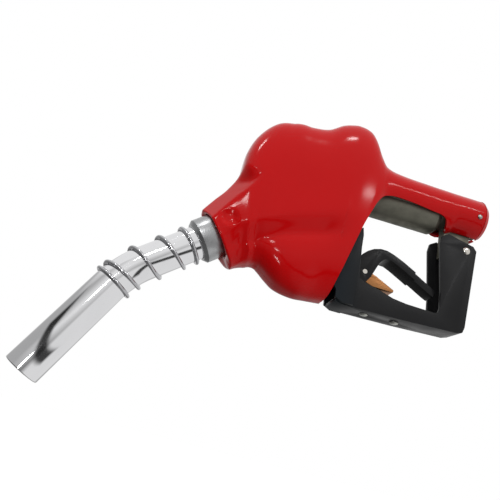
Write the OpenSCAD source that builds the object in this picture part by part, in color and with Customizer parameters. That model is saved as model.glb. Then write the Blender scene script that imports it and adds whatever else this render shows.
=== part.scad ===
// Automatic shut-off fuel nozzle: metal body in a soft red cover, bent spout with a coil spring,
// squeeze lever on a sliding plunger, lever guard with a hold-open rack.
// Origin: centre of the hose inlet face. X along the handle (hose side +X), Z up, XZ symmetry plane.

/* [Handle] */
// Outer radius of the cast handle at the inlet
inlet_boss_r = 15.1; // [14:0.1:20]
// Radius of the cast grip tube
grip_r = 15; // [14:0.1:18]
// Drop of the grip's lower rib below the handle axis
grip_rib_drop = 8; // [6:0.1:9]
// Radius of the grip's lower rib
grip_rib_r = 12.8; // [11:0.1:12.8]
// Length of the grip from the inlet face to the valve chamber
grip_l = 95; // [80:1:110]
// Bore radius of the tapped inlet
inlet_bore_r = 12; // [10:0.1:14]
// Depth of the tapped inlet
inlet_depth = 20; // [12:0.5:26]
// Radius of the fuel way through the grip
fuel_way_r = 10.5; // [8:0.1:12]
// Height of the rear pin below the handle axis
rear_pin_drop = 32; // [28:0.5:40]
// Distance of the rear pin from the inlet face
rear_pin_back = 15; // [10:0.5:20]
// Radius of the rear pin
rear_pin_r = 3; // [2:0.1:4]

/* [Main valve] */
// Distance of the main valve axis from the inlet face
valve_x = 112; // [100:1:124]
// Outer radius of the valve chamber
chamber_r = 18.5; // [18:0.5:22]
// Inner radius of the valve chamber
chamber_bore_r = 14.5; // [14:0.5:17]
// Height of the chamber's top face
chamber_top = 24; // [22:0.5:26]
// Lowest point of the chamber's floor
chamber_low = -34; // [-40:1:-30]
// Height of the valve seat's upper face
seat_z = -5; // [-8:0.5:0]
// Radius of the valve disc
poppet_r = 11.5; // [10:0.5:14]
// Radius of the valve stem
stem_r = 3; // [2:0.1:4]

/* [Spout] */
// Slope of the spout's root below the handle axis
spout_slope = 40; // [30:1:50]
// Bend of the spout
spout_bend = 23.5; // [10:1:40]
// Bend radius on the spout's centre line
bend_r = 70; // [50:1:120]
// Straight length from the collar to the bend
root_l = 44.5; // [30:0.5:60]
// Straight length from the bend to the tip
tip_l = 70.2; // [40:0.5:90]
// Outer radius of the spout tube
tube_r = 11.9; // [10:0.1:15]
// Wall of the spout tube
tube_wall = 1.4; // [1:0.1:2.5]
// Radius of the collar
collar_r = 15.8; // [14:0.1:18]
// Collar length in front of its middle plane
collar_front = 7; // [5:0.5:12]
// Chamfer on the collar's front
collar_chamfer = 2.4; // [1:0.1:4]
// Wire radius of the spout spring
wire_r = 1.25; // [1:0.05:1.6]

/* [Shut-off plunger] */
// Lean of the plunger axis
plunger_lean = 12; // [0:1:20]
// Distance of the lever's pivot from the inlet face
pivot_x = 138; // [130:1:146]
// Height of the lever's pivot
pivot_z = -76; // [-82:1:-70]
// Radius of the plunger
plunger_r = 7; // [6:0.1:8]
// Radius of the diaphragm flange
flange_r = 18.9; // [18:0.1:19.5]

/* [Lever and guard] */
// Half width of the lever's hand part
lever_half = 7.2; // [6:0.1:9]
// Half width of the lever inside the guard
lever_tail_half = 5.4; // [4:0.1:6]
// Half width of the guard at the rear
guard_half = 10; // [8:0.5:12]
// Half width of the guard under the body
guard_front_half = 13; // [11:0.5:14]
// Wall of the guard
guard_wall = 2.3; // [1.5:0.1:3]
// Height of the guard's underside
guard_low = -100; // [-106:1:-94]

/* [Cover] */
// Thickness of the soft cover
cover_wall = 2; // [1.5:0.1:2.5]
// Half width of the slot along the cover's underside
cover_slot = 1.2; // [0.5:0.1:3]
// Depth of the side hollow between body and belly
waist_depth = 2.6; // [0:0.1:4]

/* [Output] */
// Sub-part to build

/* [Hidden] */
$fn = 96;
fit = 0.05;
sa = spout_slope;
tip_slope = spout_slope + spout_bend;
datum_x = 3;
collar_x = -205.6;
collar_z = -78.4;
pad_r = 6;
bell_x = 165;
clip_x = -90;
clip_z = -70.5;
fan_z = -116;
// Outer radius of the way from the valve chamber to the spout neck
way_r = 16.6;
// Radius of the ring of cap screws
screw_ring_r = 16.6;
// The bend is drawn down a little, and the straight parts run this far past its ends
bend_draw = 0.05;
bend_lap = 1;
tube_bore_r = tube_r - tube_wall;
arc_l = bend_r * spout_bend * PI / 180;

// Stations are measured from a datum 3 mm outside the inlet face; the finished frame starts at that face
module from_datum() { translate([datum_x, 0, 0]) children(); }
// Placements -------------------------------------------------------------
module on_valve() { translate([-valve_x, 0, 0]) children(); }
module on_plunger() { translate([-pivot_x, 0, pivot_z]) rotate([0, -plunger_lean, 0]) children(); }
// Local +Z runs out along the spout, local +X points to the spout's upper side
module on_spout() { translate([collar_x, 0, collar_z]) rotate([0, -90 - sa, 0]) children(); }
module bar_x(x0, x1, r, z = 0) { translate([x0, 0, z]) rotate([0, 90, 0]) cylinder(r = r, h = x1 - x0); }
module pin_y(x, z, r, y0, y1) { translate([x, y0, z]) rotate([-90, 0, 0]) cylinder(r = r, h = y1 - y0); }
module plate(y0, y1) { translate([0, y1, 0]) rotate([90, 0, 0]) linear_extrude(y1 - y0) children(); }
module ring(ro, ri, h) { difference() { cylinder(r = ro, h = h); translate([0, 0, -1]) cylinder(r = ri, h = h + 2); } }

// Body -------------------------------------------------------------------
module casting_outside() {
    bar_x(-7, -datum_x, inlet_bore_r + 2.2);
    bar_x(-26, -6.5, inlet_boss_r);
    bar_x(-41, -20, grip_r - 1);
    bar_x(-grip_l - 8, -40, grip_r);
    bar_x(-grip_l - 4, -40.5, grip_rib_r, -grip_rib_drop);
    translate([-40.5, 0, -grip_rib_drop]) rotate([0, 90, 0]) cylinder(r1 = grip_rib_r, r2 = grip_rib_r - 3.2, h = 4);
    on_valve() translate([0, 0, -22]) cylinder(r = chamber_r, h = chamber_top + 22);
    on_valve() translate([0, 0, chamber_low]) cylinder(r1 = 12, r2 = chamber_r, h = 12);
    on_spout() translate([0, 0, -62]) cylinder(r = 16.6, h = 52.7);
    fuel_turn(way_r, 72);
    on_plunger() translate([0, 0, 79]) cylinder(r1 = 15, r2 = flange_r, h = 6);
    on_plunger() translate([0, 0, 85]) cylinder(r = flange_r, h = 5);
}
// Round bar along the way from the valve chamber to the spout neck
module fuel_turn(r, l) { translate([-valve_x, 0, -16]) rotate([0, -90 - 29, 0]) cylinder(r = r, h = l); }
module casting_cavities() {
    bar_x(-inlet_depth - datum_x, 1, inlet_bore_r);
    bar_x(-inlet_depth - datum_x - 1.6, -inlet_depth, 11.3);
    bar_x(-valve_x, -inlet_depth, fuel_way_r);
    on_valve() translate([0, 0, seat_z - 4]) cylinder(r = chamber_bore_r, h = 60);
    on_valve() translate([0, 0, chamber_low + 6]) cylinder(r = 9.5, h = 30);
    fuel_turn(12.2, 74);
    on_spout() translate([0, 0, -48]) cylinder(r = 13, h = 60);
    on_plunger() translate([0, 0, 84]) cylinder(r = 15, h = 10);
}
module body_casting() color([0.62, 0.62, 0.58]) from_datum() {
    difference() {
        union() {
            difference() {
                casting_outside();
                casting_cavities();
            }
            on_plunger() translate([0, 0, 24]) cylinder(r = 10.4, h = 61);
            on_valve() translate([0, 0, -42]) cylinder(r = 8, h = 15);
            translate([-134, -10.4, -53]) cube([10, 20.8, 23]);
            translate([-31, -3.8, -rear_pin_drop - 7]) cube([20.8, 7.6, 26.5]);
        }
        on_plunger() translate([0, 0, 10]) cylinder(r = 8.4, h = 67);
        on_plunger() translate([0, 0, 70]) cylinder(r = 3.2, h = 30);
        on_valve() translate([0, 0, -50]) cylinder(r = 6.1, h = 16);
        on_valve() translate([0, 0, -50]) cylinder(r = stem_r + fit, h = 30);
        pin_y(-129, -46, 2 + fit, -20, 20);
        pin_y(-rear_pin_back, -rear_pin_drop, rear_pin_r + fit, -10, 10);
        for (a = [45:90:315])
            on_plunger() rotate([0, 0, a]) translate([screw_ring_r, 0, 81]) cylinder(r = 1.3, h = 12);
        for (s = [-1, 1])
            pin_y(-10, -4, 1.2, s > 0 ? 13 : -20, s > 0 ? 20 : -13);
    }
}

// Cover ------------------------------------------------------------------
// Rows: place along the cover, top, centre, bottom, half width, lower edge, upper and lower squareness
cover_rows = [
    [3, 16.2, 0, -16.4, 16.2, -16.2, 2, 2], [4.2, 17, 0, -17.2, 17, -17, 2, 2],
    [7, 17.3, 0, -17.9, 17.3, -17.2, 2, 2], [26, 17.4, 0, -18, 17.3, -17.3, 2, 2],
    [31, 17.5, 0, -20.4, 17.3, -19.6, 2, 2], [36, 17.6, 0, -21.5, 17.3, -12.5, 2, 2],
    [46, 17.8, 0, -21.5, 17.4, -10.5, 2, 2], [75, 18.8, 0, -22, 18.6, -9, 2, 2],
    [87, 21.5, -1, -26, 20, -12, 2.2, 2.2], [93, 30, -6, -50, 21.8, -20, 2.6, 2.5],
    [97.5, 40, -14, -84, 23, -31, 2.9, 2.6], [102, 46.8, -20, -98, 23.8, -44, 3, 2.8],
    [107, 49.6, -22, -100, 24.2, -63, 3, 2.8], [112, 50.4, -24, -100, 24.4, -84, 3, 2.8],
    [116, 50, -24, -100, 24.5, -100, 3, 2.8], [126, 46, -24, -101, 24.5, -101, 3, 2.8],
    [137, 37.5, -24, -101.4, 24.5, -101.4, 3, 2.8], [150, 34.4, -24, -98.4, 24.5, -98.4, 3, 2.8],
    [158, 34.6, -25, -93.4, 24.5, -93.4, 3, 2.8], [165, 32.6, -26, -88.4, 24.5, -88.4, 3, 2.8],
    [170, 28.4, -28, -87.2, 24.5, -87.2, 2.9, 2.8], [176, 13.6, -34, -87.2, 24.2, -87.2, 2.7, 2.8],
    [180, -2, -42, -87.4, 23.8, -87.4, 2.6, 2.8], [183, -19, -50, -87.6, 23.2, -87.6, 2.5, 2.8],
    [190, -31, -55, -87.6, 21.6, -87.6, 2.4, 2.6], [198, -37, -59, -87.6, 20.4, -87.6, 2.2, 2.4],
    [205, -40.8, -60.6, -87.6, 19.8, -87.6, 2.1, 2.3]];
cover_steps = concat([3, 3.5, 4.2, 5.2], [for (u = [7:6:85]) u], [for (u = [87:1.9:117]) u], [for (u = [119:4:163]) u],
    [for (u = [165:1.7:190]) u], [for (u = [191:2.8:205]) u]);
cover_n = 40;
function seg(t, x, i = 0) = (i >= len(t) - 2 || x < t[i + 1][0]) ? i : seg(t, x, i + 1);
function smooth_at(t, x) = let (i = seg(t, x), p0 = t[max(i - 1, 0)], p1 = t[i], p2 = t[i + 1],
    p3 = t[min(i + 2, len(t) - 1)], w = p2[0] - p1[0], q = (x - p1[0]) / w, m1 = (p2 - p0) / (p2[0] - p0[0]) * w,
    m2 = (p3 - p1) / (p3[0] - p1[0]) * w)
    p1 * (2 * q * q * q - 3 * q * q + 1) + m1 * (q * q * q - 2 * q * q + q)
    + p2 * (3 * q * q - 2 * q * q * q) + m2 * (q * q * q - q * q);
function power(v, e) = sign(v) * pow(abs(v), e);
// Sections are upright up to the belly's front, then fan round to face along the spout
function cover_place(u, y, z) = u <= bell_x ? [-u, y, z]
    : let (t = u - bell_x) [-bell_x - (z - fan_z) * sin(t), y, fan_z + (z - fan_z) * cos(t)];
function cover_waist(u, z) = let (zw = u < 100 ? -34 : -34 - (u - 100) * 0.36, d = (z - zw) / 9,
    on = max(0, min(1, (u - 96) / 14)) * max(0, min(1, (200 - u) / 20))) 1 - on * waist_depth / 24 * exp(-d * d);
function cover_row(u) = let (r = smooth_at(cover_rows, u), low = r[2] - r[3],
    g = acos(min(0.99999, pow((r[2] - r[5]) / low, r[7] / 2))), gs = max(g, asin(pow(cover_slot / r[4], r[7] / 2))))
    [for (k = [0:cover_n]) let (a = (180 - gs) * (2 * k / cover_n - 1), n = abs(a) < 90 ? r[6] : r[7],
        z = r[2] + (abs(a) < 90 ? r[1] - r[2] : low) * power(cos(a), 2 / n), y = r[4] * power(sin(a), 2 / n))
        cover_place(u, y * cover_waist(u, z), z)];
function unit3(v) = v / max(norm(v), 1e-6);
function grid_normal(g, i, j) = let (a = g[min(i + 1, len(g) - 1)][j] - g[max(i - 1, 0)][j],
    b = g[i][min(j + 1, len(g[0]) - 1)] - g[i][max(j - 1, 0)]) unit3(cross(b, a));
function outside(i, j) = i * (cover_n + 1) + j;
function within(i, j, m) = (m + i) * (cover_n + 1) + j;
module hand_cover() color([0.69, 0.12, 0.13]) from_datum() {
    outer = [for (u = cover_steps) cover_row(u)];
    inner = [for (i = [0:len(outer) - 1]) [for (j = [0:cover_n])
        outer[i][j] - cover_wall * grid_normal(outer, i, j)]];
    m = len(outer);
    points = concat([for (r = outer) each r], [for (r = inner) each r]);
    faces = concat(
        [for (i = [0:m - 2]) for (j = [0:cover_n - 1]) each [[outside(i, j), outside(i + 1, j), outside(i + 1, j + 1)],
            [outside(i, j), outside(i + 1, j + 1), outside(i, j + 1)]]],
        [for (i = [0:m - 2]) for (j = [0:cover_n - 1]) each [[within(i, j, m), within(i + 1, j + 1, m), within(i + 1, j, m)],
            [within(i, j, m), within(i, j + 1, m), within(i + 1, j + 1, m)]]],
        [for (i = [0:m - 2]) each [[outside(i, 0), within(i, 0, m), within(i + 1, 0, m)], [outside(i, 0), within(i + 1, 0, m), outside(i + 1, 0)]]],
        [for (i = [0:m - 2]) each [[outside(i, cover_n), within(i + 1, cover_n, m), within(i, cover_n, m)],
            [outside(i, cover_n), outside(i + 1, cover_n), within(i + 1, cover_n, m)]]],
        [for (j = [0:cover_n - 1]) each [[outside(0, j), outside(0, j + 1), within(0, j + 1, m)], [outside(0, j), within(0, j + 1, m), within(0, j, m)]]],
        [for (j = [0:cover_n - 1]) each [[outside(m - 1, j), within(m - 1, j + 1, m), outside(m - 1, j + 1)],
            [outside(m - 1, j), within(m - 1, j, m), within(m - 1, j + 1, m)]]]);
    polyhedron(points = points, faces = faces, convexity = 8);
}
module cover_rivets() color([0.7, 0.7, 0.7]) from_datum() {
    for (s = [-1, 1]) {
        pin_y(-10, -4, 1.1, s > 0 ? 13.2 : -17.1, s > 0 ? 17.1 : -13.2);
        pin_y(-10, -4, 1.9, s > 0 ? 17.1 : -17.8, s > 0 ? 17.8 : -17.1);
    }
}

// Spout ------------------------------------------------------------------
module spout_collar() color([0.72, 0.72, 0.72]) from_datum() {
    on_spout() difference() {
        union() {
            translate([0, 0, -30]) cylinder(r = 12.9, h = 22);
            translate([0, 0, -9]) cylinder(r = collar_r, h = 9 + collar_front - collar_chamfer);
            translate([0, 0, collar_front - collar_chamfer])
                cylinder(r1 = collar_r, r2 = collar_r - collar_chamfer, h = collar_chamfer);
        }
        translate([0, 0, -40]) cylinder(r = tube_r + fit, h = 60);
        for (z = [-19, -14]) translate([0, 0, z - 0.8]) cylinder(r = 12.5, h = 1.6);
        rotate([0, 0, 90]) translate([0, 0, 1]) rotate([0, 90, 0]) cylinder(r = 1.55, h = 20);
    }
}
module collar_set_screw() color([0.3, 0.3, 0.3]) from_datum() {
    on_spout() rotate([0, 0, 90]) translate([tube_r + 0.1, 0, 1]) rotate([0, 90, 0]) difference() {
        cylinder(r = 1.5, h = 3);
        translate([0, 0, 1.6]) cylinder(r = 0.8, h = 2, $fn = 6);
    }
}
// Runs a round bar along the spout's centre line, offset to one side of it
module along_spout(z0, z1, r, off = 0, turn = 0) {
    dx = bend_r + off * cos(turn);
    dy = off * sin(turn);
    on_spout() translate([-bend_r, 0, root_l]) {
        translate([dx, dy, z0 - root_l]) cylinder(r = r, h = root_l - z0 + bend_lap);
        rotate([90, 0, 0]) rotate_extrude(angle = spout_bend) translate([dx, -dy]) circle(r = r - bend_draw);
        rotate([0, -spout_bend, 0]) translate([dx, dy, -bend_lap]) cylinder(r = r, h = z1 + bend_lap);
    }
}
module on_tip() {
    on_spout() translate([-bend_r, 0, root_l]) rotate([0, -spout_bend, 0]) translate([bend_r, 0, 0]) children();
}
module spout_tube() color([0.86, 0.86, 0.87]) from_datum() {
    difference() {
        along_spout(-27, tip_l, tube_r);
        along_spout(-28, tip_l + 1, tube_bore_r);
        on_tip() rotate([0, 0, 150]) translate([6, 0, tip_l - 16]) rotate([0, 90, 0]) cylinder(r = 1.6, h = 10);
    }
}
module spout_o_rings() color([0.1, 0.1, 0.1]) from_datum() {
    for (z = [-19, -14]) on_spout() translate([0, 0, z]) rotate_extrude() translate([12.18, 0]) circle(r = 0.24, $fn = 32);
}
module vent_tube() color([0.75, 0.6, 0.3]) from_datum() {
    difference() {
        along_spout(-27, tip_l - 20, 2.2, 7.6, 150);
        along_spout(-28, tip_l - 19, 1.6, 7.6, 150);
    }
}
module vent_ferrule() color([0.75, 0.6, 0.3]) from_datum() {
    on_tip() rotate([0, 0, 150]) translate([7.6, 0, tip_l - 20]) difference() {
        cylinder(r = 2.6, h = 7);
        translate([0, 0, -1]) cylinder(r = 1.6, h = 5.5);
        translate([0, 0, 4]) rotate([0, 90, 0]) cylinder(r = 1.5, h = 4);
    }
}
// Turn of the spring and its distance along the spout
spring_rows = [[1.2, 11.3], [1.5, 12.2], [2, 13.9], [2.5, 22.4], [3, 31], [4, 49.6], [5, 65.2], [5.5, 68.6],
    [6, 69.5], [6.3, 70]];
// Centre line of the spout: position at a distance, with the local slope
function spine(s) = s <= root_l ? [collar_x - s * cos(sa), collar_z - s * sin(sa), sa]
    : let (t = min(s - root_l, arc_l), a = sa + t / bend_r * 180 / PI, e = max(0, s - root_l - arc_l),
        cx = collar_x - root_l * cos(sa), cz = collar_z - root_l * sin(sa))
        [cx - bend_r * (sin(a) - sin(sa)) - e * cos(a), cz - bend_r * (cos(sa) - cos(a)) - e * sin(a), a];
function coil_at(w) = let (p = spine(smooth_at(spring_rows, w)[1]), r = tube_r + wire_r + 0.12, f = w * 360)
    [p[0] - sin(p[2]) * r * cos(f), r * sin(f), p[1] + cos(p[2]) * r * cos(f)];
// Closed tube of the given radius swept along a list of points
module wire(path, r, sides = 8) {
    m = len(path);
    tang = [for (i = [0:m - 1]) unit3(path[min(i + 1, m - 1)] - path[max(i - 1, 0)])];
    pts = [for (i = [0:m - 1]) let (t = tang[i], a = unit3(cross(t, abs(t[1]) < 0.9 ? [0, 1, 0] : [1, 0, 0])), b = cross(t, a))
        for (k = [0:sides - 1]) path[i] + r * (cos(k * 360 / sides) * a + sin(k * 360 / sides) * b)];
    polyhedron(points = pts, faces = concat([[for (k = [0:sides - 1]) k]],
        [for (i = [0:m - 2]) for (k = [0:sides - 1]) let (l = (k + 1) % sides, a = i * sides)
            each [[a + k, a + sides + k, a + sides + l], [a + k, a + sides + l, a + l]]],
        [[for (k = [sides - 1:-1:0]) (m - 1) * sides + k]]));
}
module spout_spring() color([0.8, 0.8, 0.8]) from_datum() {
    wire([for (w = [1.2:0.031:6.3]) coil_at(w)], wire_r);
}
function helix(r, z0, z1, turns, n) = [for (i = [0:n]) let (f = i / n) [r * cos(360 * turns * f), r * sin(360 * turns * f),
    z0 + (z1 - z0) * f]];

// Check valve in the neck --------------------------------------------------
module check_seat() color([0.75, 0.6, 0.3]) from_datum() { on_spout() translate([0, 0, -47.9]) ring(12.95, 8, 3); }
module check_guide() color([0.75, 0.6, 0.3]) from_datum() {
    on_spout() {
        translate([0, 0, -34]) ring(12.95, 11.4, 3);
        translate([0, 0, -34]) ring(4.2, 2.1, 3);
        for (a = [30:120:270]) rotate([0, 0, a]) translate([3.6, -1, -34]) cube([8.6, 2, 3]);
    }
}
module check_poppet() color([0.2, 0.2, 0.22]) from_datum() {
    on_spout() {
        translate([0, 0, -44.5]) cylinder(r = 10, h = 2);
        translate([0, 0, -42.5]) cylinder(r = 2, h = 16);
    }
}
module check_spring() color([0.8, 0.8, 0.8]) from_datum() {
    on_spout() wire(helix(3.2, -42.05, -39.4, 2.6, 52), 0.4, 6);
}

// Main valve ---------------------------------------------------------------
module main_seat() color([0.75, 0.6, 0.3]) from_datum() { on_valve() translate([0, 0, seat_z - 3.9]) ring(chamber_bore_r - fit, 9, 3.9); }
module main_poppet() color([0.75, 0.6, 0.3]) from_datum() {
    on_valve() {
        translate([0, 0, seat_z + 2]) ring(poppet_r, stem_r + fit, 3);
        translate([0, 0, seat_z + 5]) ring(7, stem_r + fit, 3);
    }
}
module poppet_seal() color([0.1, 0.1, 0.1]) from_datum() { on_valve() translate([0, 0, seat_z + 0.2]) ring(poppet_r - 0.4, stem_r + fit, 1.75); }
module valve_stem() color([0.8, 0.8, 0.82]) from_datum() {
    on_valve() {
        translate([0, 0, pivot_z + pad_r + 0.35]) cylinder(r = stem_r, h = seat_z + 10 - pivot_z - pad_r - 0.35);
        translate([0, 0, seat_z + 8.05]) cylinder(r = 4.6, h = 2);
    }
}
module stem_packing() color([0.9, 0.9, 0.86]) from_datum() { on_valve() translate([0, 0, -40]) ring(6, stem_r + 0.08, 5.8); }
module packing_nut() color([0.75, 0.6, 0.3]) from_datum() {
    on_valve() difference() {
        union() {
            translate([0, 0, -46.2]) cylinder(r = 7.2, h = 4.1, $fn = 6);
            translate([0, 0, -42.2]) cylinder(r = 6, h = 2.1);
        }
        translate([0, 0, -50]) cylinder(r = stem_r + 0.08, h = 20);
    }
}
module main_spring() color([0.8, 0.8, 0.8]) from_datum() {
    on_valve() wire(helix(9, seat_z + 6.1, 27.2, 5.5, 110), 0.9, 6);
}
module main_valve_cap() color([0.62, 0.62, 0.58]) from_datum() {
    on_valve() difference() {
        union() {
            translate([0, 0, 19]) cylinder(r = chamber_bore_r - fit, h = 8);
            translate([0, 0, chamber_top + 1.55]) cylinder(r = 17.2, h = 2.05);
            translate([0, 0, chamber_top + 3.6]) cylinder(r1 = 17.2, r2 = 13.6, h = 4.6);
            translate([0, 0, chamber_top + 8.2]) cylinder(r = 11, h = 5, $fn = 6);
        }
        translate([0, 0, 15]) cylinder(r = 10.8, h = 13.2);
    }
}
module cap_gasket() color([0.15, 0.15, 0.15]) from_datum() { on_valve() translate([0, 0, chamber_top + 0.05]) ring(17.2, chamber_bore_r + 0.1, 1.45); }

// Automatic shut-off -------------------------------------------------------
module diaphragm() color([0.15, 0.15, 0.15]) from_datum() {
    on_plunger() difference() {
        translate([0, 0, 90.05]) ring(flange_r, 9, 0.9);
        for (a = [45:90:315])
            rotate([0, 0, a]) translate([screw_ring_r, 0, 85]) cylinder(r = 1.35, h = 10);
    }
}
module diaphragm_plate() color([0.8, 0.8, 0.8]) from_datum() { on_plunger() translate([0, 0, 88.4]) ring(8.6, 2.05, 2.6); }
module diaphragm_spring() color([0.8, 0.8, 0.8]) from_datum() { on_plunger() wire(helix(5.6, 96.2, 103.4, 3, 60), 0.5, 6); }
module diaphragm_cap() color([0.62, 0.62, 0.58]) from_datum() {
    on_plunger() difference() {
        union() {
            translate([0, 0, 91]) cylinder(r = flange_r, h = 3.4);
            translate([0, 0, 94.4]) cylinder(r1 = 14.2, r2 = 10.5, h = 11.6);
        }
        translate([0, 0, 90]) cylinder(r = 10.6, h = 5);
        translate([0, 0, 94]) cylinder(r = 8.4, h = 10);
        for (a = [45:90:315])
            rotate([0, 0, a]) translate([screw_ring_r, 0, 85]) cylinder(r = 1.35, h = 20);
    }
}
module cap_screws() color([0.75, 0.75, 0.75]) from_datum() {
    on_plunger() for (a = [45:90:315]) rotate([0, 0, a]) translate([screw_ring_r, 0, 0]) {
        translate([0, 0, 83]) cylinder(r = 1.25, h = 11.5);
        translate([0, 0, 94.45]) cylinder(r = 2.1, h = 1.5);
    }
}
module latch_pin() color([0.8, 0.8, 0.82]) from_datum() {
    on_plunger() {
        translate([0, 0, 62]) cylinder(r1 = 1, r2 = 2, h = 3);
        translate([0, 0, 65]) cylinder(r = 2, h = 27.5);
        translate([0, 0, 91.2]) cylinder(r = 3.6, h = 1.4);
    }
}
module latch_balls() color([0.85, 0.85, 0.87]) from_datum() {
    on_plunger() for (a = [30:120:270]) rotate([0, 0, a]) translate([4.6, 0, 67]) sphere(r = 2.4);
}
module latch_ring() color([0.5, 0.5, 0.52]) from_datum() { on_plunger() translate([0, 0, 69.9]) ring(8.35, 7.4, 5); }
module plunger() color([0.8, 0.8, 0.82]) from_datum() {
    on_plunger() difference() {
        union() {
            translate([0, 0, 14]) cylinder(r = plunger_r, h = 56);
            intersection() {
                translate([-6, -2.5, -5.6]) cube([12, 5, 20]);
                union() {
                    rotate([-90, 0, 0]) translate([0, 0, -5]) cylinder(r = 5.6, h = 10);
                    translate([-5.6, -5, 0]) cube([11.2, 10, 20]);
                }
            }
        }
        rotate([-90, 0, 0]) translate([0, 0, -5]) cylinder(r = 2.5 + fit, h = 10);
        translate([0, 0, 56]) cylinder(r = 2.1, h = 20);
        for (a = [30:120:270])
            rotate([0, 0, a]) translate([0, 0, 67]) rotate([0, 90, 0]) cylinder(r = 2.45, h = 8);
    }
}
module plunger_spring() color([0.8, 0.8, 0.8]) from_datum() { on_plunger() wire(helix(7.7, 27, 60, 7, 140), 0.3, 6); }
module plunger_pin() color([0.85, 0.85, 0.85]) from_datum() { pin_y(-pivot_x, pivot_z, 2.5, -5.2, 5.2); }

// Lever and clip -----------------------------------------------------------
// Side outline of the lever, from the pivot boss over the hand arch to the tail
lever_top = [[-112, -71.4], [-104, -70.4], [-100, -67.4], [-96.6, -62], [-93.6, -57.6], [-90, -54], [-85.6, -51.2],
    [-80.5, -49.6], [-75.5, -49.6], [-70, -51.2], [-62, -54.6], [-49, -61.4], [-36.4, -68.4]];
lever_low = [[-35, -71], [-36, -74.4], [-39.3, -73], [-57.2, -63.4], [-67, -58.4], [-71.4, -56.6], [-75, -56.4], [-77.8, -57.6],
    [-80.2, -61], [-82.4, -66.5], [-85, -73], [-88.6, -78.4], [-93, -81.4], [-97, -82], [-112, -82]];
module lever() color([0.12, 0.12, 0.13]) from_datum() {
    difference() {
        union() {
            plate(-lever_tail_half, lever_tail_half) {
                polygon(concat(lever_top, lever_low));
                translate([-pivot_x, pivot_z]) circle(r = 6.4);
                polygon([[-pivot_x, pivot_z + 6.4], [-112, -71.4], [-112, -82], [-pivot_x, pivot_z - 6.4]]);
            }
            intersection() {
                plate(-lever_half, lever_half) polygon(concat(lever_top, lever_low));
                translate([-98, -20, -90]) cube([46, 40, 50]);
            }
        }
        plate(-2.8, 2.8) translate([-150, -90]) square([47, 30]);
        pin_y(-pivot_x, pivot_z, 2.55, -20, 20);
        pin_y(-112, pivot_z, 2.05, -20, 20);
        plate(-5, 5) clip_room();
        pin_y(clip_x, clip_z, 1.75, -20, 20);
    }
}
module clip_room() {
    polygon([[-94.8, -70.5], [-93.6, -66.6], [-90, -65.4], [-84, -66], [-76, -70], [-76, -90], [-94.6, -90]]);
}
module lever_roller() color([0.8, 0.8, 0.82]) from_datum() { plate(-2.5, 2.5) translate([-112, pivot_z]) difference() { circle(r = pad_r); circle(r = 2.05); } }
module roller_pin() color([0.85, 0.85, 0.85]) from_datum() { pin_y(-112, pivot_z, 2, -5.3, 5.3); }
module clip_pin() color([0.85, 0.85, 0.85]) from_datum() { pin_y(clip_x, clip_z, 1.7, -lever_half - 0.1, lever_half + 0.1); }
module hold_open_clip() color([0.66, 0.45, 0.27]) from_datum() {
    difference() {
        plate(-4.5, 4.5) polygon([[-93, -71.4], [-92.6, -69.2], [-91.4, -67.8], [-90, -67.4], [-86.6, -68.2], [-80, -70.6],
            [-70.4, -75.2], [-65.8, -77.4], [-66.2, -79.2], [-71, -79.2], [-82, -79], [-87.4, -77.2], [-92, -73.6]]);
        pin_y(clip_x, clip_z, 1.75, -20, 20);
        plate(-2.8, 2.8) translate([-96, -78]) square([10.2, 14]);
    }
}
module clip_spring() color([0.8, 0.8, 0.8]) from_datum() {
    translate([clip_x, 0, clip_z]) rotate([90, 0, 0]) wire(helix(2.3, -2.2, 2.2, 4, 72), 0.35, 6);
}

// Guard --------------------------------------------------------------------
module guard_outline() {
    polygon([[-96.5, -46], [-95.6, -60], [-94.4, -77.4], [-90, -79.6], [-78, -82.6], [-68, -85.6], [-58, -86.8],
        [-36, -87.4], [-33.6, -86], [-32.6, -83], [-33, -70], [-36.4, -32], [-35.2, -25.6], [-30.2, -22.4],
        [-21, -24.6], [-9.7, -27], [-7.1, -30.4], [-13, -92], [-14.5, -96], [-19, -97.4], [-60, -99.2],
        [-104, -100.2], [-109, -99], [-110.2, -97], [-110.6, -91.5], [-113, -88.6], [-121, -88.6], [-121, -46]]);
}
module guard_front_outline() {
    polygon([[-97, -46], [-98, -40], [-104, -44.6], [-120, -44.6], [-120, -39], [-137, -39], [-137, -60], [-148, -63],
        [-148, -80], [-141, -88], [-121, -88.6], [-113, -88.6], [-110.6, -91.5], [-110.2, -97], [-105, -99.6],
        [-97, -99.6]]);
}
module guard_channel() {
    polygon([[-150, -30], [-150, -105], [-109.4, -105], [-109.4, -96.8], [-104, -97.6], [-60, -96.8], [-19, -94.6], [-16, -91], [-9.9, -40], [-9.9, -15], [-50, -15], [-60, -60],
        [-90, -30]]);
}
module guard_front_channel() {
    polygon([[-150, -20], [-150, -105], [-109.4, -105], [-109.4, -96.5], [-104, -97.3], [-99, -97.2], [-99, -20]]);
}
module guard() color([0.13, 0.13, 0.14]) from_datum() {
    difference() {
        union() {
            plate(-guard_half, guard_half) guard_outline();
            plate(-guard_front_half, guard_front_half) guard_front_outline();
        }
        plate(-guard_half + guard_wall, guard_half - guard_wall) guard_channel();
        plate(-guard_front_half + guard_wall, guard_front_half - guard_wall) guard_front_channel();
        fuel_turn(way_r + 0.4, 72);
        pin_y(-129, -46, 2 + fit, -20, 20);
        pin_y(-rear_pin_back, -rear_pin_drop, rear_pin_r + fit, -20, 20);
        for (x = [-84, -61]) {
            translate([x, 0, -110]) cylinder(r = 1.7, h = 20);
            translate([x, 0, -101.2]) cylinder(r = 3.6, h = 2);
        }
        bar_x(-26, 5, 18.6);
        bar_x(-60, -25, 20.4);
    }
}
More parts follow.
